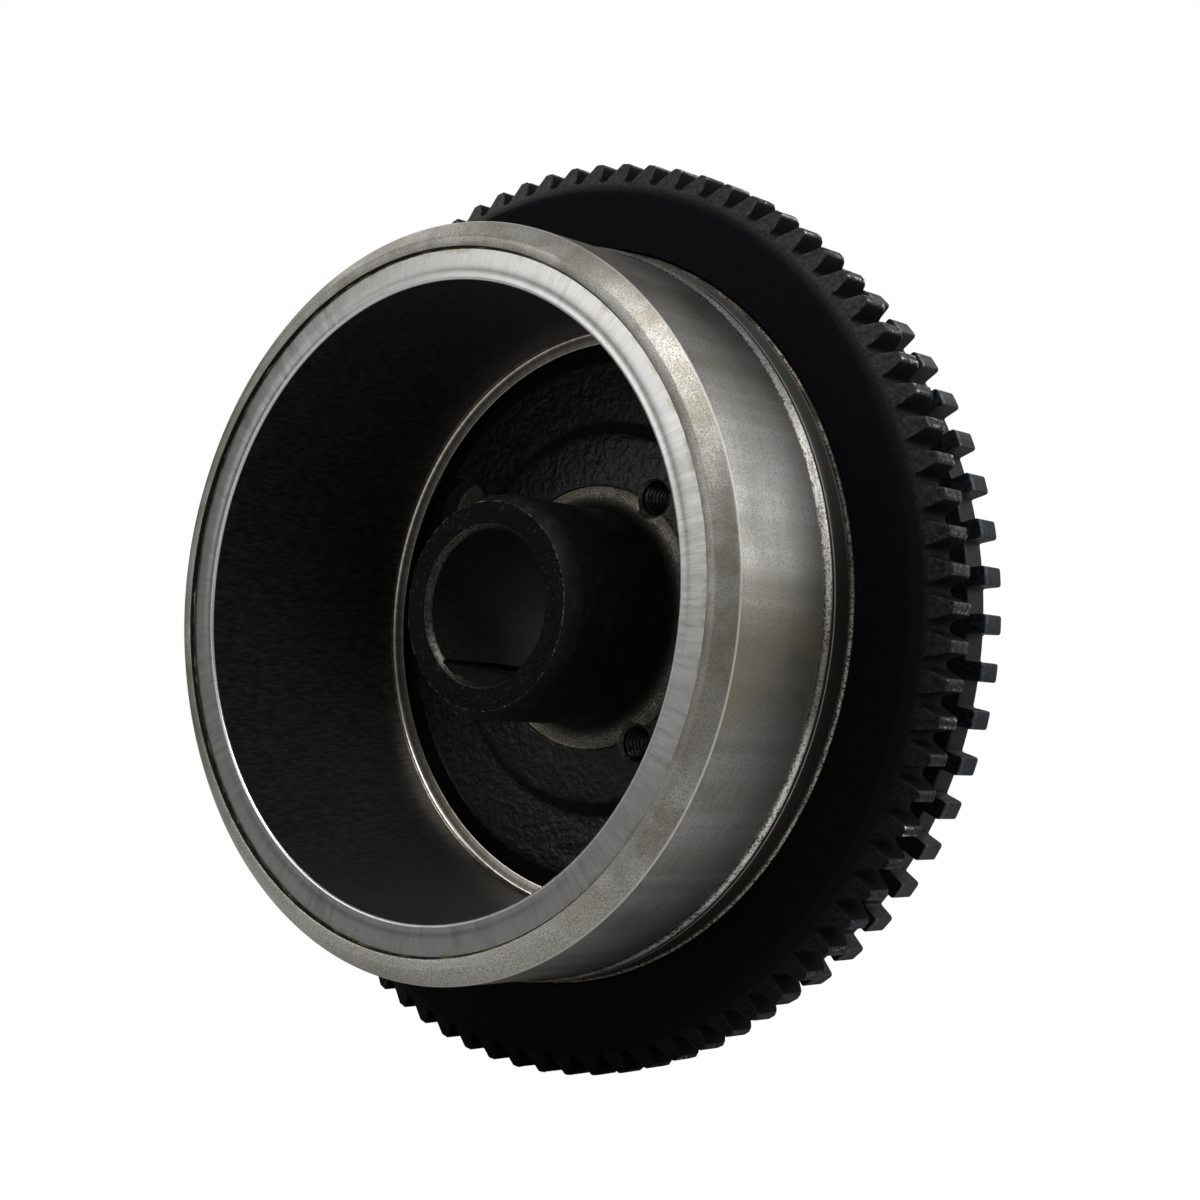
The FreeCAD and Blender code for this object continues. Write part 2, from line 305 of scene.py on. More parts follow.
class Paint:
    """Builds one node material with short calls. Texture lengths are in millimetres."""

    def __init__(self, name, metallic, roughness, colour):
        self.material = bpy.data.materials.new(name)
        self.material.use_nodes = True
        self.tree = self.material.node_tree
        self.shader = self.tree.nodes["Principled BSDF"]
        self.set("Metallic", metallic)
        self.set("Roughness", roughness)
        self.set("Base Color", (*colour, 1))
        self.material.diffuse_color = (*colour, 1)
        self.point = self.vector("SCALE", self.node("TexCoord").outputs["Object"], scale=1 / MM)
        flat = self.vector("MULTIPLY", self.point, (1, 0, 1))
        self.around = self.vector("NORMALIZE", flat)
        self.radius = self.vector("LENGTH", flat, output="Value")
        split = self.node("SeparateXYZ")
        self.feed(split.inputs[0], self.point)
        self.height = split.outputs["Z"]
        self.depth = self.math("SUBTRACT", split.outputs["Y"], FRONT_Y / MM)

    def node(self, kind):
        return new_node(self.tree, kind)

    def feed(self, socket, value):
        if isinstance(value, bpy.types.NodeSocket):
            self.tree.links.new(value, socket)
        else:
            socket.default_value = value

    def set(self, name, value):
        self.feed(self.shader.inputs[name], value)

    def math(self, operation, first, second=0.0):
        node = self.node("Math")
        node.operation = operation
        for socket, value in zip(node.inputs, (first, second)):
            self.feed(socket, value)
        return node.outputs[0]

    def times(self, first, second):
        return self.math("MULTIPLY", first, second)

    def plus(self, first, second):
        return self.math("ADD", first, second)

    def vector(self, operation, first, second=None, scale=None, output="Vector"):
        node = self.node("VectorMath")
        node.operation = operation
        self.feed(node.inputs[0], first)
        if second is not None:
            self.feed(node.inputs[1], second)
        if scale is not None:
            self.feed(node.inputs["Scale"], scale)
        return node.outputs[output]

    def combine(self, x=0.0, y=0.0, z=0.0):
        node = self.node("CombineXYZ")
        for socket, value in zip(node.inputs, (x, y, z)):
            self.feed(socket, value)
        return node.outputs[0]

    def noise(self, where, scale, detail=3.0, roughness=0.55):
        node = self.node("TexNoise")
        for name, entry in zip(("Vector", "Scale", "Detail", "Roughness"), (where, scale, detail, roughness)):
            self.feed(node.inputs[name], entry)
        return node.outputs["Fac"]

    def grain(self, scale, detail=3.0, roughness=0.55):
        return self.noise(self.point, scale, detail, roughness)

    def band(self, value, low, high, start=0.0, end=1.0):
        """The value from low to high, mapped smoothly to start to end."""
        node = self.node("MapRange")
        node.interpolation_type = "SMOOTHSTEP"
        for socket, entry in zip(node.inputs, (value, low, high, start, end)):
            self.feed(socket, entry)
        return node.outputs[0]

    def near(self, value, middle, outer, inner, start=0.0, end=1.0):
        """Start where the value is further than outer from the middle, end where it is within inner."""
        gap = self.math("ABSOLUTE", self.math("SUBTRACT", value, middle))
        return self.band(gap, outer, inner, start, end)

    def mix(self, share, first, second):
        node = self.node("Mix")
        node.data_type = "RGBA"
        self.feed(node.inputs["Factor"], share)
        for name, tone in (("A", first), ("B", second)):
            self.feed(node.inputs[name], tone if isinstance(tone, bpy.types.NodeSocket) else (*tone, 1))
        return node.outputs["Result"]

    def attribute(self, name):
        node = self.node("Attribute")
        node.attribute_name = name
        return node.outputs["Fac"]

    def turning(self, pitch, along):
        """Turning marks, which change across the feed direction only."""
        drift = self.noise(self.around, 1.5, 1.0)
        across = self.plus(along, self.times(drift, pitch * 1.5))
        return self.noise(self.combine(across), 1 / pitch, 3.0, 0.7)

    def radial_marks(self, count, length=10.0):
        """Scratches that run straight out from the axis, or along it on a cylinder."""
        run = self.math("DIVIDE", self.plus(self.radius, self.depth), count * length)
        return self.noise(self.vector("ADD", self.around, self.combine(0, run, 0)), count, 4.0, 0.75)

    def bump(self, height, distance):
        node = self.node("Bump")
        self.feed(node.inputs["Height"], height)
        node.inputs["Distance"].default_value = distance * MM
        node.inputs["Strength"].default_value = 1.0
        self.set("Normal", node.outputs[0])

    def brushed(self, amount, across):
        """Stretches reflections round the axis, or across the marks that run round it."""
        node = self.node("Tangent")
        node.direction_type = "RADIAL"
        node.axis = "Y"
        self.set("Tangent", node.outputs[0])
        self.set("Anisotropic", amount)
        self.set("Anisotropic Rotation", 0.25 if across else 0.0)

    def colour(self, share, first, second):
        self.set("Base Color", self.mix(share, first, second))

    def rough(self, pattern, low, high):
        """Roughness from low to high with the pattern."""
        self.set("Roughness", self.band(pattern, 0.3, 0.7, low, high))


def turned_steel():
    """Main outside cylinder: fine-grained turned steel, painted darker towards the rear as shade next to the
    black flange, with a painted highlight line along the chamfer's edge.
    """
    p = Paint("turned_steel", 1.0, 0.44, (0.30, 0.29, 0.26))
    tint = p.noise(p.around, 2.2, 2.0)
    stripes = p.noise(p.around, 13.0, 2.0)
    bands = p.turning(2.6, p.depth)
    stains = p.grain(0.10, 4.0, 0.65)
    grain = p.grain(4.0, 3.0, 0.75)
    base = p.mix(p.band(tint, 0.42, 0.58), (0.30, 0.29, 0.25), (0.345, 0.34, 0.33))
    banded = p.mix(p.band(bands, 0.4, 0.62, 0.0, 0.35), base, (0.21, 0.205, 0.19))
    striped = p.mix(p.band(stripes, 0.42, 0.62, 0.0, 0.5), banded, (0.46, 0.455, 0.44))
    darkened = p.mix(p.band(stains, 0.5, 0.7, 0.0, 0.3), striped, (0.20, 0.19, 0.155))
    grained = p.mix(p.band(grain, 0.42, 0.60, 0.0, 0.7), darkened, (0.15, 0.145, 0.13))
    side = p.near(p.height, -13.0, 13.0, 4.0)
    warm = p.times(side, p.band(stains, 0.35, 0.6, 0.15, 0.6))
    warmed = p.mix(warm, grained, (0.36, 0.32, 0.22))
    # painted shade: darker towards the rear, next to the black flange
    shaded_to_rear = p.mix(p.band(p.depth, 5.0, DRUM_END, 0.0, 0.55), warmed, (0.10, 0.098, 0.09))
    # painted highlight: a bright line along the chamfer's edge
    edge = p.band(p.depth, RIM_CHAMFER + 0.22, RIM_CHAMFER + 0.05)
    p.colour(edge, shaded_to_rear, (0.85, 0.83, 0.78))
    p.rough(stains, 0.40, 0.48)
    p.bump(grain, 0.01)
    p.brushed(0.5, across=True)
    return p.material


def blasted_steel():
    """Chamfer and front rim: bright steel with a fine pitted grain and scratches, painted lighter towards the
    bottom as light and with a painted highlight line along the chamfer's outer edge.
    """
    p = Paint("blasted_steel", 1.0, 0.45, (0.45, 0.44, 0.41))
    grain = p.grain(3.6, 4.0, 0.75)
    pits = p.grain(2.5, 4.0, 0.7)
    scratches = p.turning(0.12, p.radius)
    where = p.grain(0.5, 3.0)
    patches = p.grain(0.12, 3.0)
    tone = p.mix(p.band(patches, 0.38, 0.62), (0.38, 0.36, 0.31), (0.58, 0.565, 0.525))
    # darker in a band just below the middle of the right side
    side = p.near(p.height, -17.0, 16.0, 6.0, 0.0, 0.55)
    darkened = p.mix(side, tone, (0.22, 0.205, 0.155))
    # painted light: lighter towards the bottom
    tone = p.mix(p.band(p.height, -35.0, -55.0, 0.0, 0.6), darkened, (0.95, 0.93, 0.85))
    grained = p.mix(p.band(grain, 0.42, 0.60, 0.0, 0.6), tone, (0.19, 0.18, 0.155))
    pitted = p.mix(p.band(pits, 0.62, 0.70, 0.0, 0.65), grained, (0.06, 0.055, 0.047))
    scratched = p.times(p.band(scratches, 0.62, 0.72), p.band(where, 0.50, 0.60))
    lit = p.mix(scratched, pitted, (0.80, 0.79, 0.76))
    # painted highlight: a bright line along the chamfer's outer edge
    edge = p.band(p.depth, RIM_CHAMFER - 0.22, RIM_CHAMFER - 0.1)
    p.colour(p.times(edge, 0.8), lit, (0.85, 0.83, 0.78))
    p.rough(grain, 0.36, 0.52)
    p.bump(grain, 0.04)
    return p.material


def rough_steel():
    """Step before the starter ring: a painted highlight along the crest among dark pits, worst on the lower
    half.
    """
    p = Paint("rough_steel", 1.0, 0.46, (0.7, 0.68, 0.63))
    grain = p.grain(3.4, 4.0, 0.75)
    pits = p.grain(2.5, 4.0, 0.75)
    patches = p.grain(0.25, 3.0)
    low = p.band(p.height, 18.0, -8.0)
    outer, inner = p.band(low, 0.0, 1.0, 1.1, 0.7), p.band(low, 0.0, 1.0, 0.5, 0.1)
    # painted highlight: a bright band along the crest, narrower on the lower half
    crest = p.near(p.depth, STEP_END - 0.55, outer, inner)
    bright = p.mix(p.band(grain, 0.38, 0.6), (0.62, 0.59, 0.52), (1.0, 0.98, 0.93))
    tone = p.mix(crest, (0.24, 0.225, 0.195), bright)
    front = p.band(p.depth, DRUM_END + 0.8, DRUM_END - 0.2, 0.0, 0.13)
    worst = p.plus(p.times(low, 0.045), p.band(patches, 0.4, 0.7, -0.03, 0.05))
    share = p.plus(p.plus(pits, front), worst)
    # darker in a band just below the middle of the right side
    side = p.near(p.height, -14.0, 13.0, 4.0, 0.0, 0.7)
    darkened = p.mix(side, tone, (0.10, 0.09, 0.072))
    pitted = p.mix(p.band(share, 0.56, 0.64, 0.0, 0.95), darkened, (0.05, 0.045, 0.038))
    foot = p.band(p.depth, DRUM_END + 0.1, DRUM_END - 0.3, 0.0, 0.8)
    p.colour(foot, pitted, (0.10, 0.095, 0.085))
    p.rough(grain, 0.26, 0.40)
    p.bump(pits, 0.035)
    return p.material


def land_steel():
    """Smooth dark land before the starter ring, painted darker on its lower half as shade, with a dark line
    and painted highlight lines round each end.
    """
    p = Paint("land_steel", 1.0, 0.44, (0.30, 0.295, 0.28))
    marks = p.turning(0.35, p.depth)
    grain = p.grain(2.4, 4.0, 0.75)
    patches = p.grain(0.3, 3.0)
    low = p.band(p.height, 20.0, -5.0)
    tone = p.mix(p.band(marks, 0.35, 0.65), (0.20, 0.198, 0.188), (0.33, 0.326, 0.31))
    # painted shade: darker on the lower half
    tone = p.mix(p.times(low, 0.72), tone, (0.02, 0.02, 0.019))
    # A dark line, then painted highlight lines; the last one fades on the lower half.
    for line, half_width, colour, strength in (
        (STEP_END + 0.28, 0.24, (0.07, 0.05, 0.035), 1.0),
        (STEP_END + 0.75, 0.20, (0.95, 0.92, 0.87), 1.0),
        (GEAR_FRONT - 1.0, 0.20, (0.78, 0.82, 0.86), p.band(low, 0.0, 1.0, 0.9, 0.1)),
    ):
        share = p.times(p.near(p.depth, line, half_width, half_width * 0.35), strength)
        tone = p.mix(share, tone, colour)
    light = p.mix(low, (0.42, 0.38, 0.33), (0.75, 0.70, 0.61))
    specks = p.mix(p.band(grain, 0.44, 0.54), (0.07, 0.052, 0.038), light)
    edge = p.band(p.depth, GEAR_FRONT - 0.85, GEAR_FRONT - 0.65)
    rusty = p.times(p.band(patches, 0.45, 0.65), p.band(low, 0.0, 1.0, 1.0, 0.3))
    p.colour(edge, tone, p.mix(rusty, specks, (0.08, 0.06, 0.045)))
    p.rough(marks, 0.40, 0.5)
    p.bump(marks, 0.01)
    p.brushed(0.5, across=True)
    return p.material


def cast_black():
    """Black casting skin of the floor and the boss, lumpy and glossy, dull in the boss's corner, where
    painted shade darkens it.
    """
    p = Paint("cast_black", 0.0, 0.3, (0.012, 0.012, 0.013))
    lumps = p.grain(0.85, 2.0, 0.5)
    grain = p.grain(2.6, 3.0, 0.6)
    tone = p.mix(p.band(lumps, 0.40, 0.62), (0.0015, 0.0015, 0.002), (0.008, 0.008, 0.0105))
    flecked = p.mix(p.band(grain, 0.60, 0.74), tone, (0.026, 0.026, 0.035))
    # painted shade: darker in the corner at the boss's foot
    corner = p.near(p.radius, (BOSS_EDGE_R + BOSS_FOOT_R) / 2 + 0.3, 1.5, 0.8)
    p.colour(corner, flecked, (0.0008, 0.0008, 0.0008))
    p.set("Roughness", p.plus(p.band(grain, 0.3, 0.7, 0.34, 0.5), p.times(corner, 0.45)))
    p.bump(p.plus(lumps, p.times(grain, 0.22)), 0.38)
    return p.material


def tube_black():
    """Side of the hub tube: smoother black with a faint turned grain."""
    p = Paint("tube_black", 0.0, 0.46, (0.014, 0.014, 0.014))
    marks = p.turning(0.5, p.depth)
    lumps = p.grain(0.5, 4.0, 0.6)
    worn = p.times(p.band(lumps, 0.55, 0.75), 0.5)
    p.colour(worn, (0.010, 0.010, 0.010), (0.05, 0.046, 0.040))
    p.rough(lumps, 0.38, 0.55)
    p.bump(marks, 0.02)
    return p.material


def tube_end_black():
    """End of the hub tube: granular black, here and there worn bright at its outer edge."""
    p = Paint("tube_end_black", 0.0, 0.5, (0.012, 0.012, 0.012))
    grain = p.grain(2.4, 5.0, 0.8)
    specks = p.grain(1.3, 3.0, 0.75)
    tone = p.mix(p.band(grain, 0.42, 0.6), (0.001, 0.001, 0.001), (0.012, 0.012, 0.013))
    speckled = p.mix(p.band(specks, 0.59, 0.68), tone, (0.042, 0.044, 0.056))
    ring = p.near(p.radius, TUBE_CHAMFER_R - 0.05, 0.16, 0.05)
    broken = p.times(ring, p.band(specks, 0.50, 0.62))
    p.colour(broken, speckled, (0.24, 0.235, 0.22))
    p.set("Metallic", p.times(broken, 0.7))
    p.rough(grain, 0.4, 0.6)
    p.bump(grain, 0.3)
    p.set("Specular IOR Level", 0.07)
    return p.material


def spot_faced():
    """Machined ring round the tube's foot: tan grey and speckled, fading to black up the tube."""
    p = Paint("spot_faced", 1.0, 0.45, (0.30, 0.28, 0.23))
    marks = p.turning(0.3, p.radius)
    patches = p.grain(0.35, 4.0, 0.7)
    grain = p.grain(2.4, 4.0, 0.75)
    tone = p.mix(p.band(marks, 0.3, 0.7), (0.16, 0.148, 0.118), (0.29, 0.272, 0.228))
    darkened = p.mix(p.band(patches, 0.5, 0.7, 0.0, 0.6), tone, (0.08, 0.072, 0.055))
    specked = p.mix(p.band(grain, 0.48, 0.62, 0.0, 0.85), darkened, (0.03, 0.028, 0.022))
    bright = p.mix(p.band(grain, 0.40, 0.32, 0.0, 0.8), specked, (0.75, 0.73, 0.64))
    foot = p.band(p.plus(p.radius, patches), TUBE_R + 3.4, TUBE_R + 0.8)
    p.colour(foot, bright, (0.008, 0.008, 0.0075))
    p.set("Metallic", p.math("SUBTRACT", 1.0, foot))
    p.rough(patches, 0.42, 0.55)
    p.bump(p.plus(marks, grain), 0.04)
    return p.material


def bare_chamfer():
    """Chamfer at the bore's mouth, bare and dulled."""
    p = Paint("bare_chamfer", 1.0, 0.42, (0.08, 0.077, 0.07))
    marks = p.turning(0.25, p.radius)
    grain = p.grain(1.4, 4.0, 0.75)
    tone = p.mix(p.band(marks, 0.3, 0.7), (0.05, 0.048, 0.043), (0.10, 0.097, 0.088))
    p.colour(p.band(grain, 0.42, 0.62, 0.0, 0.8), tone, (0.016, 0.015, 0.014))
    p.bump(marks, 0.01)
    return p.material


def thread_steel():
    """Threads of the puller holes."""
    p = Paint("thread_steel", 1.0, 0.36, (0.08, 0.076, 0.068))
    grain = p.grain(1.4, 4.0, 0.7)
    p.colour(p.band(grain, 0.42, 0.65), (0.115, 0.11, 0.10), (0.03, 0.028, 0.025))
    p.rough(grain, 0.3, 0.45)
    p.bump(grain, 0.01)
    return p.material


def bore_steel():
    """Bore and keyway, dark under an oil film."""
    p = Paint("bore_steel", 0.1, 0.55, (0.02, 0.0195, 0.0185))
    marks = p.turning(0.3, p.depth)
    grain = p.grain(1.5, 4.0, 0.7)
    tone = p.mix(p.band(grain, 0.4, 0.65), (0.006, 0.006, 0.0057), (0.019, 0.0185, 0.017))
    p.colour(p.band(marks, 0.5, 0.8, 0.0, 0.4), tone, (0.028, 0.027, 0.025))
    p.rough(grain, 0.52, 0.66)
    p.set("Specular IOR Level", 0.15)
    p.bump(marks, 0.008)
    return p.material


def milled_pocket():
    """Cutter marks in the balance pocket."""
    p = Paint("milled_pocket", 0.7, 0.42, (0.10, 0.097, 0.09))
    grain = p.grain(1.3, 4.0, 0.65)
    p.colour(p.band(grain, 0.4, 0.65), (0.10, 0.097, 0.09), (0.17, 0.165, 0.153))
    p.rough(grain, 0.34, 0.5)
    p.bump(grain, 0.03)
    return p.material


def rear_black():
    """Turned and blacked rear faces of the back plate and hub."""
    p = Paint("rear_black", 0.55, 0.40, (0.03, 0.03, 0.031))
    marks = p.turning(0.4, p.radius)
    patches = p.grain(0.15, 4.0)
    tone = p.mix(p.band(marks, 0.3, 0.7), (0.020, 0.020, 0.021), (0.055, 0.055, 0.057))
    p.colour(p.band(patches, 0.55, 0.75, 0.0, 0.5), tone, (0.09, 0.088, 0.084))
    p.rough(patches, 0.34, 0.5)
    p.bump(marks, 0.012)
    return p.material


def lip_steel():
    """Lip of the sleeve: light steel with fine radial scratches and a few stains, with painted shade towards
    the bottom and the top and a painted highlight along the inner edge.
    """
    p = Paint("lip_steel", 1.0, 0.34, (0.62, 0.61, 0.58))
    scratches = p.radial_marks(70.0)
    coarse = p.radial_marks(14.0, 20.0)
    grain = p.grain(1.2, 4.0, 0.7)
    stains = p.grain(0.22, 4.0, 0.7)
    where = p.band(p.grain(0.05, 2.0), 0.42, 0.58, 0.25, 1.0)
    light = p.mix(p.band(scratches, 0.38, 0.62), (0.52, 0.51, 0.485), (0.66, 0.655, 0.635))
    tone = p.mix(where, (0.59, 0.58, 0.555), light)
    worn = p.plus(where, p.band(p.height, -42.0, -50.0, 0.0, 1.0))
    dark = p.times(worn, p.band(coarse, 0.5, 0.66, 0.0, 0.35))
    toned = p.mix(dark, tone, (0.36, 0.35, 0.325))
    shade = p.plus(p.band(p.height, 10.0, -55.0, 0.0, 0.40), p.band(p.height, 20.0, 45.0, 0.0, 0.2))
    shaded = p.mix(shade, toned, (0.03, 0.03, 0.028))
    # painted highlight along the lip's inner edge
    crest = p.band(p.radius, 52.25, 52.05, 0.0, 0.9)
    edge_highlighted = p.mix(crest, shaded, (0.97, 0.96, 0.94))
    pitted = p.mix(p.band(grain, 0.66, 0.72, 0.0, 0.8), edge_highlighted, (0.07, 0.065, 0.06))
    outside = p.band(p.radius, SLEEVE_LIP_R - 1.3, SLEEVE_LIP_R - 0.1)
    yellow = p.times(outside, p.band(stains, 0.5, 0.62))
    p.colour(p.times(yellow, 0.7), pitted, (0.27, 0.26, 0.15))
    p.rough(scratches, 0.27, 0.32)
    p.bump(scratches, 0.007)
    p.brushed(0.5, across=False)
    return p.material


def wall_steel():
    """Inside of the sleeve: dull dark drawn sheet with short fine dashes along it."""
    p = Paint("wall_steel", 0.75, 0.40, (0.08, 0.077, 0.07))
    dashes = p.radial_marks(120.0, 2.5)
    specks = p.grain(2.5, 3.0, 0.7)
    tone = p.mix(p.band(dashes, 0.38, 0.65), (0.045, 0.044, 0.040), (0.105, 0.102, 0.093))
    p.colour(p.band(specks, 0.70, 0.76), tone, (0.3, 0.29, 0.27))
    p.rough(dashes, 0.36, 0.46)
    p.bump(dashes, 0.006)
    return p.material


def rear_lip_steel():
    """Rolled rear lip of the sleeve, the brightest metal inside the bell."""
    p = Paint("rear_lip_steel", 1.0, 0.24, (0.72, 0.70, 0.64))
    grain = p.radial_marks(60.0)
    tone = p.mix(p.band(grain, 0.35, 0.65), (0.60, 0.555, 0.48), (0.86, 0.81, 0.73))
    bead = p.near(p.radius, SLEEVE_REAR_LIP_R + 1.3, 0.5, 0.1)
    p.colour(p.times(bead, 0.45), tone, (0.20, 0.195, 0.18))
    p.bump(grain, 0.01)
    return p.material


def gear_black():
    """Black oxide of the starter ring, worn and chipped where the wear attribute says.

    It darkens towards the bevel's inner edge. Painted shade darkens the gullets, the flanks and the lower
    half, and painted light lightens the upper half.
    """
    p = Paint("gear_black", 0.0, 0.55, (0.008, 0.008, 0.009))
    grain = p.grain(1.4, 5.0, 0.7)
    fine = p.grain(5.0, 3.0, 0.6)
    where = p.grain(0.12, 2.0)
    worn = p.attribute("wear")
    # painted light: lighter towards the top
    light = p.mix(p.band(p.height, -5.0, 60.0), (0.011, 0.011, 0.0125), (0.036, 0.036, 0.038))
    skin = p.mix(p.band(grain, 0.34, 0.68), p.mix(0.5, (0.003, 0.003, 0.003), light), light)
    # painted shade: black where the wear attribute is near nought, in the gullets and on the flanks, more so
    # on the lower half
    clear = p.times(p.band(worn, 0.0, 0.1), p.band(p.height, -30.0, 45.0, 0.35, 1.0))
    reach = p.plus(p.radius, p.band(p.height, -10.0, 50.0, -0.9, 0.0))
    fade = p.band(reach, GEAR_LEAD_IN_R + 0.3, GEAR_ROOT_R + 0.4)
    tone = p.mix(p.times(clear, fade), (0.003, 0.003, 0.003), skin)
    wear = p.times(p.times(worn, fade), p.band(grain, 0.34, 0.62))
    # painted shade: bare metal darker towards the bottom
    bare = p.mix(p.band(p.height, -35.0, 5.0), (0.09, 0.094, 0.11), (0.22, 0.22, 0.216))
    rubbed = p.mix(p.times(wear, 0.6), tone, bare)
    worst = p.plus(where, p.band(p.height, -10.0, 45.0, -0.05, 0.06))
    chips = p.times(p.band(worn, 0.62, 0.92), p.band(p.plus(grain, worst), 1.05, 1.13))
    chips = p.times(chips, p.band(fine, 0.44, 0.54))
    p.colour(chips, rubbed, (0.75, 0.73, 0.70))
    p.set("Metallic", p.math("MAXIMUM", chips, p.times(wear, 0.6)))
    p.set("Specular IOR Level", 0.07)
    p.set("Roughness", p.plus(p.band(fine, 0.3, 0.7, 0.38, 0.55), p.band(worn, 0.22, 0.0, 0.0, 0.3)))
    p.bump(p.plus(grain, p.times(fine, 0.4)), 0.07)
    return p.material


def gear_face_black():
    """Flat faces of the starter ring: even satin black."""
    p = Paint("gear_face_black", 0.0, 0.6, (0.0035, 0.0035, 0.004))
    grain = p.grain(2.0, 4.0, 0.65)
    p.colour(p.band(grain, 0.4, 0.7), (0.0022, 0.0022, 0.0034), (0.0042, 0.0042, 0.006))
    p.rough(grain, 0.5, 0.68)
    p.bump(grain, 0.03)
    p.set("Specular IOR Level", 0.06)
    return p.material


def trigger_black():
    """Trigger ring: dark steel whose teeth are rubbed to a cool blue grey at their front edges; painted light
    makes both lighter towards the top.
    """
    p = Paint("trigger_black", 0.0, 0.42, (0.03, 0.031, 0.034))
    grain = p.grain(1.2, 4.0, 0.65)
    marks = p.turning(0.3, p.depth)
    tone = p.mix(p.band(grain, 0.4, 0.65), (0.005, 0.0055, 0.006), (0.016, 0.0165, 0.019))
    worn = p.attribute("wear")
    wear = p.times(worn, p.band(grain, 0.3, 0.6))
    # painted light: the rubbed parts and edges lighter towards the top
    high = p.band(p.height, 10.0, 55.0)
    rubbed = p.mix(p.times(wear, 0.6), tone, p.mix(high, (0.05, 0.055, 0.068), (0.2, 0.205, 0.21)))
    edge = p.times(p.band(worn, 0.72, 0.95), p.band(grain, 0.42, 0.52))
    p.colour(edge, rubbed, p.mix(high, (0.07, 0.095, 0.12), (0.3, 0.4, 0.46)))
    p.set("Metallic", p.times(edge, 0.4))
    p.set("Specular IOR Level", 0.15)
    p.rough(grain, 0.36, 0.5)
    p.bump(marks, 0.02)
    return p.material


def potting_compound():
    """Cured compound: brown black, with yellowish smears towards the lower right."""
    p = Paint("potting_compound", 0.0, 0.4, (0.05, 0.045, 0.03))
    patches = p.grain(0.25, 4.0, 0.65)
    grain = p.grain(2.0, 3.0)
    smear = p.band(patches, 0.48, 0.6)
    tone = p.mix(p.band(grain, 0.4, 0.7), (0.016, 0.015, 0.012), (0.045, 0.042, 0.034))
    p.colour(smear, tone, (0.22, 0.20, 0.10))
    p.rough(grain, 0.3, 0.6)
    p.bump(grain, 0.1)
    return p.material


def ferrite():
    """Sintered magnet."""
    p = Paint("ferrite", 0.0, 0.55, (0.045, 0.043, 0.041))
    grain = p.grain(1.5, 4.0)
    p.colour(p.band(grain, 0.4, 0.65), (0.035, 0.034, 0.033), (0.06, 0.058, 0.055))
    p.bump(grain, 0.03)
    return p.material


def cage_plastic():
    """Moulded black plastic of the magnet cage."""
    p = Paint("cage_plastic", 0.0, 0.5, (0.02, 0.02, 0.02))
    grain = p.grain(3.0, 3.0)
    p.colour(p.band(grain, 0.35, 0.65), (0.016, 0.016, 0.016), (0.026, 0.026, 0.026))
    p.bump(grain, 0.02)
    return p.material


# ---- bell, hub and bore
FINISHES = {
    "turned": turned_steel(),
    "blasted": blasted_steel(),
    "rough": rough_steel(),
    "land": land_steel(),
    "cast": cast_black(),
    "tube": tube_black(),
    "tube_end": tube_end_black(),
    "spot": spot_faced(),
    "chamfer": bare_chamfer(),
    "thread": thread_steel(),
    "bore": bore_steel(),
    "rear": rear_black(),
}
POCKET_PAINT = milled_pocket()
TAPER_START = TUBE_END + BORE_CHAMFER + PILOT_LENGTH
TAPER_RISE = (HUB_REAR - TAPER_START) / TAPER_RATIO / 2


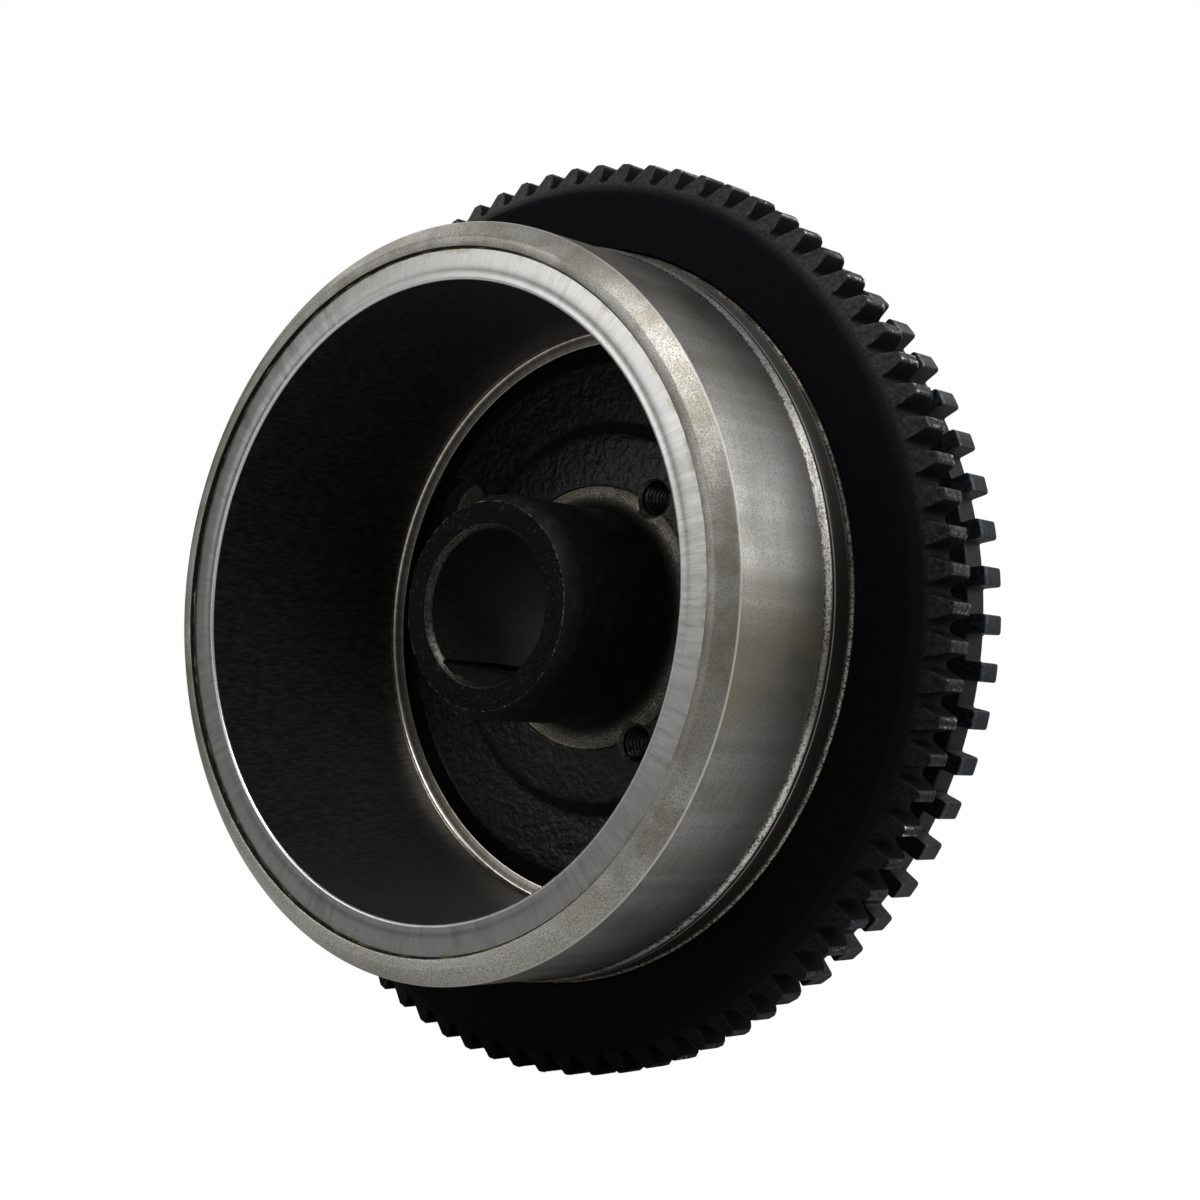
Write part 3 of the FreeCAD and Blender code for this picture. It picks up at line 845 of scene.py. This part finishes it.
def bell_outline():
    """Half section of the bell, from the front rim round the back and the hub to the floor."""
    back = TRIGGER_REAR
    relief = back - RELIEF_DEPTH
    foot = (TUBE_R + TUBE_FOOT_RADIUS, SPOT - TUBE_FOOT_RADIUS)
    floor_edge = (FLOOR_R - FLOOR_RADIUS, FLOOR + FLOOR_RADIUS)
    outline = [
        (BELL_BORE_R, 0, "bore"),
        (RIM_R, 0, "blasted"),
        (DRUM_R, RIM_CHAMFER, "blasted"),
        (DRUM_R, DRUM_END, "turned"),
        (LAND_R, STEP_END, "rough"),
        (LAND_R, GEAR_FRONT - SEAT_CHAMFER, "land"),
        (SEAT_R, GEAR_FRONT, "land"),
        (SEAT_R, GEAR_REAR, "rear"),
        (SHOULDER_R, GEAR_REAR, "rear"),
        (SHOULDER_R, TRIGGER_FRONT, "rear"),
        (SEAT_R, TRIGGER_FRONT, "rear"),
        (SEAT_R, back, "rear"),
        (RELIEF_OUTER_R, back, "rear"),
        (RELIEF_OUTER_R - 1, relief, "rear"),
        (RELIEF_INNER_R, relief, "rear"),
        (HUB_REAR_R, HUB_REAR - 1, "rear"),
        (HUB_REAR_R - 1, HUB_REAR, "rear"),
        (BORE_R + TAPER_RISE, HUB_REAR, "rear"),
        (BORE_R, TAPER_START, "bore"),
        (BORE_R, TUBE_END + BORE_CHAMFER, "bore"),
        (BORE_R + BORE_CHAMFER, TUBE_END, "chamfer"),
        (TUBE_CHAMFER_R, TUBE_END, "tube_end"),
        (TUBE_R, TUBE_CHAMFER_END, "tube"),
        (TUBE_R, foot[1], "tube"),
    ]
    outline += [(r, d, "spot") for r, d in arc_points(foot, TUBE_FOOT_RADIUS, 180, 90, FOOT_STEPS)[1:]]
    outline += [
        (SPOT_R, SPOT, "spot"),
        (SPOT_R + 0.15, BOSS_FACE, "cast"),
        (BOSS_EDGE_R - 0.9, BOSS_EDGE - 0.12, "cast"),
        (BOSS_EDGE_R, BOSS_EDGE + 0.1, "cast"),
        (BOSS_EDGE_R + 0.4, BOSS_EDGE + 0.7, "cast"),
        (BOSS_FOOT_R - 0.2, FLOOR - 0.7, "cast"),
        (BOSS_FOOT_R + 0.5, FLOOR, "cast"),
    ]
    outline += [(r, d, "cast") for r, d in arc_points(floor_edge, FLOOR_RADIUS, -90, 0, FOOT_STEPS)]
    outline += [(FLOOR_R, GROOVE, "cast"), (BELL_BORE_R, GROOVE, "bore")]
    steps = {"turned": 6, "rough": 0.3, "bore": 8, "rear": 6, "cast": 0.8, "spot": 0.6, "tube": 5}
    return divided(softened(outline, CORNER_CUT), steps)


def keyway_cutter():
    """Slot beside the bore whose bottom runs parallel to the taper, out through the mouth."""
    turn = radians(KEYWAY_ANGLE)
    out = Vector((cos(turn), 0, sin(turn)))
    side = Vector((-sin(turn), 0, cos(turn)))
    half = KEYWAY_WIDTH / 2
    verts = []
    for depth in (TUBE_END - 1, HUB_REAR + 1):
        reach = BORE_R + KEYWAY_CUT + (depth - TAPER_START) / TAPER_RATIO / 2
        section = [(6, -half), (reach - 0.3, -half), (reach, 0.3 - half)]
        section += [(r, -s) for r, s in reversed(section)]
        verts += [(out * r + side * s) * MM + Vector((0, FRONT_Y + depth * MM, 0)) for r, s in section]
    faces = [(5, 4, 3, 2, 1, 0), (6, 7, 8, 9, 10, 11)]
    faces += [(i, (i + 1) % 6, (i + 1) % 6 + 6, i + 6) for i in range(6)]
    obj = new_object("keyway_cutter", verts, faces, [FINISHES["bore"]])
    tidy_mesh(obj)
    return obj


def roughen(obj, material, amount, scale, seed):
    """Moves the vertices inside one finish along their normals by lumpy noise."""
    mesh = obj.data
    index = mesh.materials.find(material.name)
    inside = [True] * len(mesh.vertices)
    for face in mesh.polygons:
        if face.material_index != index:
            for v in face.vertices:
                inside[v] = False
    shift = Vector((seed, 0, 0))
    moved = []
    for v in mesh.vertices:
        lump = noise.fractal(v.co / MM * scale + shift, 0.8, 2.0, 4) if inside[v.index] else 0
        moved.append(v.co + v.normal * lump * amount * MM)
    mesh.vertices.foreach_set("co", [value for point in moved for value in point])
    mesh.update()


def build_bell():
    """The turned bell with its keyway, pocket and puller holes cut, its cast and rough parts lumpy."""
    bell = lathe("bell_skin", bell_outline(), LATHE_SEGMENTS, list(FINISHES.values()), list(FINISHES))
    low, soft = POCKET_BOTTOM, 0.5
    pocket = [(POCKET_R, FLOOR - 4), (POCKET_R, low - soft)]
    pocket += [(POCKET_R - 0.15, low - 0.15), (POCKET_R - soft, low)]
    hole = [(PULLER_SINK_R + 0.5, SPOT - 0.5), (THREAD_MAJOR_R, PULLER_SINK_END)]
    hole.append((THREAD_MAJOR_R, HUB_REAR + 0.5))
    tools = [keyway_cutter(), cutter("pocket_cutter", pocket, POCKET_ANGLE, POCKET_PITCH_R, POCKET_PAINT, 96)]
    tools += [cutter("hole_cutter", hole, angle, PULLER_PITCH_R, FINISHES["spot"]) for angle in PULLER_ANGLES]
    cut_away(bell, joined(tools))
    tidy_mesh(bell)
    roughen(bell, FINISHES["cast"], 0.16, 0.45, 3)
    roughen(bell, FINISHES["rough"], 0.07, 0.7, 11)
    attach(bell, "root")
    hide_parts("rotor_bell")


def build_thread(number, angle):
    """Thread of one puller hole, a thin helical liner."""
    around, per_turn, slope = 48, 10, 2.6
    start, stop = PULLER_SINK_END + 0.05, HUB_REAR - 0.4
    rows = ceil((stop - start) / THREAD_PITCH * per_turn)
    turn = radians(angle)
    centre = Vector((PULLER_PITCH_R * cos(turn), 0, PULLER_PITCH_R * sin(turn))) * MM
    height = THREAD_MAJOR_R - THREAD_MINOR_R
    verts = []
    for s in range(around):
        theta = ROUND * s / around
        for k in range(rows + 1):
            depth = start + (stop - start) * k / rows
            phase = ((depth - start) / THREAD_PITCH - s / around) % 1
            crest = min(1, slope * min(phase, 1 - phase))
            fade = min(1, (depth - start) / THREAD_RUN_OUT, (stop - depth) / THREAD_RUN_OUT)
            verts.append(place(THREAD_MAJOR_R - height * crest * fade, theta, depth) + centre)
        verts.append(place(THREAD_MAJOR_R + THREAD_LINER, theta, stop) + centre)
        verts.append(place(THREAD_MAJOR_R + THREAD_LINER, theta, start) + centre)
    faces = grid_faces(around, rows + 3)
    obj = new_object("puller_thread_%d" % number, verts, faces, [FINISHES["thread"]])
    tidy_mesh(obj, 50)
    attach(obj, "root")


# ---- sleeve and potting
def build_sleeve():
    """The lip has a crest at its inner edge, a shallow hollow, and leans back slightly outside it."""
    lip, wall, rear_lip = lip_steel(), wall_steel(), rear_lip_steel()
    back = SLEEVE_LIP + SLEEVE_SHEET
    face = [(SLEEVE_LIP_R, 0.34), (56.65, 0.21), (55.6, 0.14), (54.6, 0.07), (53.9, 0.04)]
    face += [(53.4, 0.06), (53.0, 0.09), (52.6, 0.08), (52.3, 0.04), (52.08, 0.02)]
    face += [(51.92, 0.07), (51.79, 0.17), (51.70, 0.30), (SLEEVE_R, 0.46)]
    outline = [(r, SLEEVE_LIP + drop, "lip") for r, drop in face]
    start, stop, parts = SLEEVE_LIP + SLEEVE_BEND, SLEEVE_REAR - SLEEVE_CORNER, 8
    outline += [(SLEEVE_R, start + (stop - start) * k / parts, "wall") for k in range(parts + 1)]
    corner = (SLEEVE_R - SLEEVE_CORNER, SLEEVE_REAR - SLEEVE_CORNER)
    outline += [(r, d, "rear_lip") for r, d in arc_points(corner, SLEEVE_CORNER, 0, 90, 6)[1:]]
    outline += [
        (SLEEVE_REAR_LIP_R + 0.2, SLEEVE_REAR, "rear_lip"),
        (SLEEVE_REAR_LIP_R + 0.06, SLEEVE_REAR + 0.06, "rear_lip"),
        (SLEEVE_REAR_LIP_R, SLEEVE_REAR + 0.2, "rear_lip"),
        (SLEEVE_REAR_LIP_R, SLEEVE_REAR + SLEEVE_SHEET, "rear_lip"),
        (SLEEVE_R + SLEEVE_SHEET, SLEEVE_REAR + SLEEVE_SHEET, "rear_lip"),
        (SLEEVE_R + SLEEVE_SHEET, back + 0.1, "wall"),
        (SLEEVE_R + SLEEVE_BEND, back, "lip"),
        (SLEEVE_LIP_R, back, "lip"),
    ]
    names = ["lip", "wall", "rear_lip"]
    sleeve = lathe("sleeve_skin", outline, LATHE_SEGMENTS, [lip, wall, rear_lip], names)
    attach(sleeve, "root")
    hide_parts("magnet_sleeve")


def build_potting():
    """The compound's surface rises and sinks between the sleeve's lip and the rim."""
    front = front_of("potting_ring")
    overlap, swell, parts = 0.02, 0.12, 4
    start, outer = SLEEVE_LIP_R - overlap, BELL_BORE_R + overlap
    outline = [(start + (outer - start) * k / parts, front - swell, "front") for k in range(parts + 1)]
    inner = SLEEVE_R + SLEEVE_BEND
    back = front_of("magnet_01")
    under_lip = SLEEVE_LIP + SLEEVE_SHEET
    side = ((outer, back), (inner, back), (inner, under_lip), (start, under_lip))
    outline += [(r, d, "side") for r, d in side]
    compound = potting_compound()
    ring = lathe("potting_bead", outline, LATHE_SEGMENTS, [compound, compound], ["front", "side"])
    rise, sink = -0.45, 0.1
    for v in ring.data.vertices:
        if depth_of(v.co.y) < front + 0.01:
            lump = noise.fractal(v.co / MM * 0.35, 0.8, 2.0, 4)
            v.co.y += max(rise, min(sink, 0.35 * lump)) * MM
    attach(ring, "root")
    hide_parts("potting_ring")


# ---- starter ring and trigger ring
def ring_solid(name, rows, materials, split_r, sharp):
    """Closed ring from rows of equal length; each row entry is (point, wear).

    Faces inside split_r get the second material.
    """
    verts = [point for row in rows for point, _ in row]
    faces = grid_faces(len(rows), len(rows[0]))
    reach = [hypot(point.x, point.z) / MM for point in verts]
    slots = [int(min(reach[v] for v in face) < split_r) for face in faces]
    obj = new_object(name, verts, faces, materials, slots)
    attribute = obj.data.attributes.new("wear", "FLOAT", "POINT")
    attribute.data.foreach_set("value", [wear for row in rows for _, wear in row])
    tidy_mesh(obj, sharp)
    return obj


def toothed_row(teeth, first, depth, profile):
    """One section of a toothed ring; profile(number) lists a tooth's (radius, angle, wear)."""
    row = []
    for number in range(teeth):
        middle = first + number * 360 / teeth
        row += [(place(r, radians(middle + turn), depth), wear) for r, turn, wear in profile(number)]
    return row


def add_ring_body(rows, flange_r, front, depth):
    """Adds the rows of a ring's flat faces and its seat on the bell."""
    angles = [atan2(point.z, point.x) for point, _ in rows[0]]
    edge_r, edge = SEAT_R + SEAT_CHAMFER, SEAT_CHAMFER
    section = [(flange_r, depth), (edge_r, depth), (SEAT_R, depth - edge)]
    section += [(SEAT_R, edge), (edge_r, 0), (flange_r, 0)]
    for r, offset in section:
        rows.append([(place(r, angle, front + offset), 0) for angle in angles])


def gear_tooth(tip_r):
    """One pitch of the starter ring: (radius, angle from the tooth's middle, wear)."""
    pitch = 360 / GEAR_TEETH
    tip_half = degrees(GEAR_TIP_WIDTH / 2 / GEAR_TIP_R)
    foot_half = pitch / 2 - degrees(GEAR_ROOT_RADIUS / GEAR_FOOT_R)

    def flank(r):
        return foot_half + (tip_half - foot_half) * (r - GEAR_FOOT_R) / (GEAR_TIP_R - GEAR_FOOT_R)

    def inward(distance):
        return degrees(distance / GEAR_TIP_R)

    tip = flank(tip_r)
    reach = min(GEAR_TIP_ROUND, (tip_r - GEAR_FOOT_R) * 0.5)
    half = [(tip_r, 0, 0.55), (tip_r - 0.02, tip - inward(0.6), 0.6)]
    for share, wear in ((0.0, 0.9), (0.3, 1.0), (0.65, 1.0), (1.0, 0.8)):
        low = tip_r - reach * share * share
        half.append((low, flank(low) - inward(reach * (1 - share) ** 2), wear))
    low = tip_r - reach - 0.2
    middle = (low + GEAR_FOOT_R) / 2
    half += [(low, flank(low), 0.04), (middle, flank(middle), 0), (GEAR_FOOT_R, foot_half, 0)]
    root_half = pitch / 2 - foot_half
    for share, wear in ((0.35, 0.02), (0.7, 0.08)):
        lean = radians(90 * share)
        low = GEAR_FOOT_R - GEAR_ROOT_RADIUS * sin(lean)
        half.append((low, pitch / 2 - root_half * cos(lean), wear))
    last = [(GEAR_ROOT_R, pitch / 2, 0.1)]
    return [(r, -a, w) for r, a, w in reversed(half[1:])] + half + last


def gear_stations(depth):
    """Sections of the starter ring from front to rear: (offset, outer radius, share of wear)."""
    rise = (GEAR_TIP_R - GEAR_LEAD_IN_R) / GEAR_BEVEL_STEPS
    stations = [(0, GEAR_LEAD_IN_R - 0.12, 0.25)]
    for k in range(1, GEAR_BEVEL_STEPS):
        stations.append((GEAR_LEAD_IN * k / GEAR_BEVEL_STEPS, GEAR_LEAD_IN_R + rise * k, 0.25))
    stations += [
        (GEAR_LEAD_IN - 0.08, GEAR_TIP_R - 0.13, 0.9),
        (GEAR_LEAD_IN + 0.15, GEAR_TIP_R, 0.95),
        (GEAR_LEAD_IN + 0.6, GEAR_TIP_R, 0.8),
        (depth - 1.0, GEAR_TIP_R, 0.85),
        (depth - GEAR_REAR_BEVEL, GEAR_TIP_R, 1.0),
        (depth - 0.05, GEAR_TIP_R - GEAR_REAR_BEVEL + 0.05, 0.9),
        (depth, GEAR_TIP_R - GEAR_REAR_BEVEL - 0.1, 0.4),
    ]
    return stations


def bevelled(tooth, tip_r, worn):
    """The tooth cut down to the radius that the front bevel leaves, with its wear scaled."""
    cut = []
    for r, turn, wear in tooth:
        if r > tip_r:
            r, wear = tip_r, 0.15
        elif r > GEAR_FOOT_R:
            wear *= worn
        cut.append((r, turn, wear))
    return cut


def nicked(point, wear):
    """The point, moved inwards where a worn edge has a nick."""
    if wear > 0.5:
        lump = noise.fractal(point / MM * 0.8, 0.7, 2.0, 3)
        point -= Vector((point.x, 0, point.z)).normalized() * max(0, lump - 0.35) * 0.45 * MM
    return point


def build_ring_gear():
    """The long bevel at the front cuts across the teeth, so the gullets open onto it."""
    depth = GEAR_REAR - GEAR_FRONT
    rows = []
    for offset, tip_r, worn in gear_stations(depth):
        tooth = bevelled(gear_tooth(max(tip_r, GEAR_FOOT_R + 0.1)), tip_r, worn)
        row = toothed_row(GEAR_TEETH, GEAR_FIRST_ANGLE, GEAR_FRONT + offset, lambda number: tooth)
        rows.append([(nicked(point, wear), wear) for point, wear in row])
    add_ring_body(rows, GEAR_LEAD_IN_R - 1, GEAR_FRONT, depth)
    gear = ring_solid("ring_gear_skin", rows, [gear_black(), gear_face_black()], GEAR_LEAD_IN_R - 0.1, 40)
    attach(gear, "root")
    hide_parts("ring_gear")


def trigger_position(number, tip_r, root_r):
    """One pitch of the trigger ring: (radius, angle from the tooth's middle, wear)."""
    pitch = 360 / TRIGGER_POSITIONS
    half = TRIGGER_TOOTH_WIDTH / 2

    def turn(reach):
        return degrees(reach / TRIGGER_TIP_R)

    space = [(root_r, turn(half) + (pitch / 2 - turn(half)) * share, 0) for share in (0.12, 0.4, 0.7)]
    if number in TRIGGER_MISSING:
        tooth = [(root_r, turn(half) * share, 0) for share in (0, 0.2, 0.4, 0.6, 0.75, 0.9, 1)]
    else:
        tooth = [
            (tip_r, 0, 0.9),
            (tip_r, turn(half - 0.5), 0.9),
            (tip_r - 0.09, turn(half - 0.16), 1.0),
            (tip_r - 0.3, turn(half - 0.02), 0.8),
            (tip_r - 0.6, turn(half), 0.1),
            (root_r + 0.3, turn(half), 0.02),
            (root_r, turn(half + 0.25), 0),
        ]
    side = tooth + space
    return [(r, -a, w) for r, a, w in reversed(side[1:])] + side + [(root_r, pitch / 2, 0)]


def build_trigger_ring():
    """Square teeth, whose front edges are worn over the first millimetre."""
    depth = TRIGGER_REAR - TRIGGER_FRONT
    stations = [     # offset, drop from the outer radius, share of wear
        (0, 0.07, 0.25),
        (0.07, 0.01, 0.8),
        (0.9, 0, 1.0),
        (1.15, 0, 0.68),
        (depth - 0.6, 0, 0.6),
        (depth - 0.16, 0, 0.8),
        (depth, 0.16, 0.6),
    ]
    rows = []
    for offset, drop, worn in stations:
        row = toothed_row(
            TRIGGER_POSITIONS, TRIGGER_FIRST_ANGLE, TRIGGER_FRONT + offset,
            lambda number: trigger_position(number, TRIGGER_TIP_R - drop, TRIGGER_ROOT_R - drop),
        )
        rows.append([(point, wear * worn) for point, wear in row])
    add_ring_body(rows, TRIGGER_FLANGE_R, TRIGGER_FRONT, depth)
    paint = trigger_black()
    ring = ring_solid("trigger_ring_skin", rows, [paint, paint], 0, 40)
    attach(ring, "root")
    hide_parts("trigger_ring")


def paint_frame_node(name, material):
    """Gives a CAD node that keeps its own shape a material."""
    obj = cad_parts[name]
    obj.data.materials.clear()
    obj.data.materials.append(material)


build_bell()
for thread_number, thread_angle in enumerate(PULLER_ANGLES, 1):
    build_thread(thread_number, thread_angle)
build_sleeve()
build_potting()
build_ring_gear()
build_trigger_ring()
magnet_paint, cage_paint = ferrite(), cage_plastic()
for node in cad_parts:
    if node.startswith("magnet_") and node[-1].isdigit():
        paint_frame_node(node, magnet_paint)
paint_frame_node("magnet_cage", cage_paint)


# ---- stage, light and camera
# Each spot: its place on the floor, radii where its shade starts and stops, light inside and outside
FLOOR_SPOTS = (
    ((-0.02, 0.06), 0.045, 0.12, 0.12, 1.4),
    ((0.085, 0.045), 0.02, 0.075, 1.3, 0.0),
)


def show(tree, seen, unseen, output):
    """Gives the camera the seen shader and every other ray the unseen one."""
    path = new_node(tree, "LightPath")
    mix = new_node(tree, "MixShader")
    tree.links.new(path.outputs["Is Camera Ray"], mix.inputs[0])
    tree.links.new(unseen.outputs[0], mix.inputs[1])
    tree.links.new(seen.outputs[0], mix.inputs[2])
    tree.links.new(mix.outputs[0], output.inputs["Surface"])


def stage_material(name, seen, unseen):
    """Plain surface, even when looked at. As a light it is dim behind the object, bar one spot."""
    material = bpy.data.materials.new(name)
    material.use_nodes = True
    tree = material.node_tree
    tree.nodes.remove(tree.nodes["Principled BSDF"])
    shown = new_node(tree, "Emission")
    shown.inputs["Strength"].default_value = seen
    other = new_node(tree, "Emission")
    here = new_node(tree, "TexCoord")
    total = new_node(tree, "Math")
    for ((x, y), start, stop, inside, outside), term in zip(FLOOR_SPOTS, total.inputs):
        gap = new_node(tree, "VectorMath")
        gap.operation = "DISTANCE"
        gap.inputs[1].default_value = (x, y, FLOOR_Z)
        shade = new_node(tree, "MapRange")
        shade.interpolation_type = "SMOOTHSTEP"
        for socket, value in zip(shade.inputs[1:5], (start, stop, inside * unseen, outside * unseen)):
            socket.default_value = value
        tree.links.new(here.outputs["Object"], gap.inputs[0])
        tree.links.new(gap.outputs["Value"], shade.inputs["Value"])
        tree.links.new(shade.outputs["Result"], term)
    tree.links.new(total.outputs[0], other.inputs["Strength"])
    show(tree, shown, other, tree.nodes["Material Output"])
    return material


def build_world(seen, unseen):
    """White backdrop that lights the object only dimly."""
    world = bpy.data.worlds.new("studio")
    bpy.context.scene.world = world
    world.use_nodes = True
    tree = world.node_tree
    background = tree.nodes["Background"]
    background.inputs["Color"].default_value = (seen, seen, seen, 1)
    dim = new_node(tree, "Background")
    dim.inputs["Color"].default_value = (unseen, unseen, unseen, 1)
    show(tree, background, dim, tree.nodes["World Output"])


def softbox(name, direction, distance, size, power):
    """Rectangular light in a direction from the object, turned towards it."""
    light = bpy.data.lights.new(name, "AREA")
    light.shape = "RECTANGLE"
    light.size, light.size_y = size
    light.energy = power
    obj = bpy.data.objects.new(name, light)
    out = Vector(direction).normalized()
    obj.location = out * distance
    obj.rotation_euler = out.to_track_quat("Z", "Y").to_euler()
    bpy.context.scene.collection.objects.link(obj)


FLOOR_Z = -GEAR_TIP_R * MM
FLOOR_HALF = 6
floor = new_object(
    "stage_floor",
    [(x * FLOOR_HALF, y * FLOOR_HALF, FLOOR_Z) for x, y in ((-1, -1), (1, -1), (1, 1), (-1, 1))],
    [(0, 1, 2, 3)],
    [stage_material("stage_floor", 1.0, 0.28)],
)
build_world(1.0, 0.13)

softbox("key_above", (0.33, -0.53, 0.78), 0.95, (0.5, 0.45), 3.9)
softbox("front_left", (-0.42, -0.80, 0.42), 1.0, (0.5, 0.45), 1.5)
softbox("top_left", (-0.68, 0.10, 0.73), 1.0, (0.5, 0.5), 1.0)
softbox("back_above", (0.16, 0.77, 0.62), 1.1, (0.6, 0.45), 0.8)
softbox("back_right", (0.66, 0.74, 0.12), 1.2, (0.5, 0.8), 1.2)
softbox("right_side", (0.74, 0.52, 0.42), 1.0, (0.5, 0.7), 3.4)

AZIMUTH, ELEVATION, DISTANCE = radians(39.66), radians(-5.57), 0.3593
target = Vector((0.0126, 0, 0.0013))
back = Vector((
    sin(AZIMUTH) * cos(ELEVATION),
    -cos(AZIMUTH) * cos(ELEVATION),
    sin(ELEVATION),
))
lens = bpy.data.cameras.new("camera")
lens.lens = 64.5
lens.sensor_width = 36
camera = bpy.data.objects.new("camera", lens)
camera.location = target + back * DISTANCE
camera.rotation_euler = back.to_track_quat("Z", "Y").to_euler()
bpy.context.scene.collection.objects.link(camera)
bpy.context.scene.camera = camera
bpy.context.scene.view_settings.view_transform = "Standard"
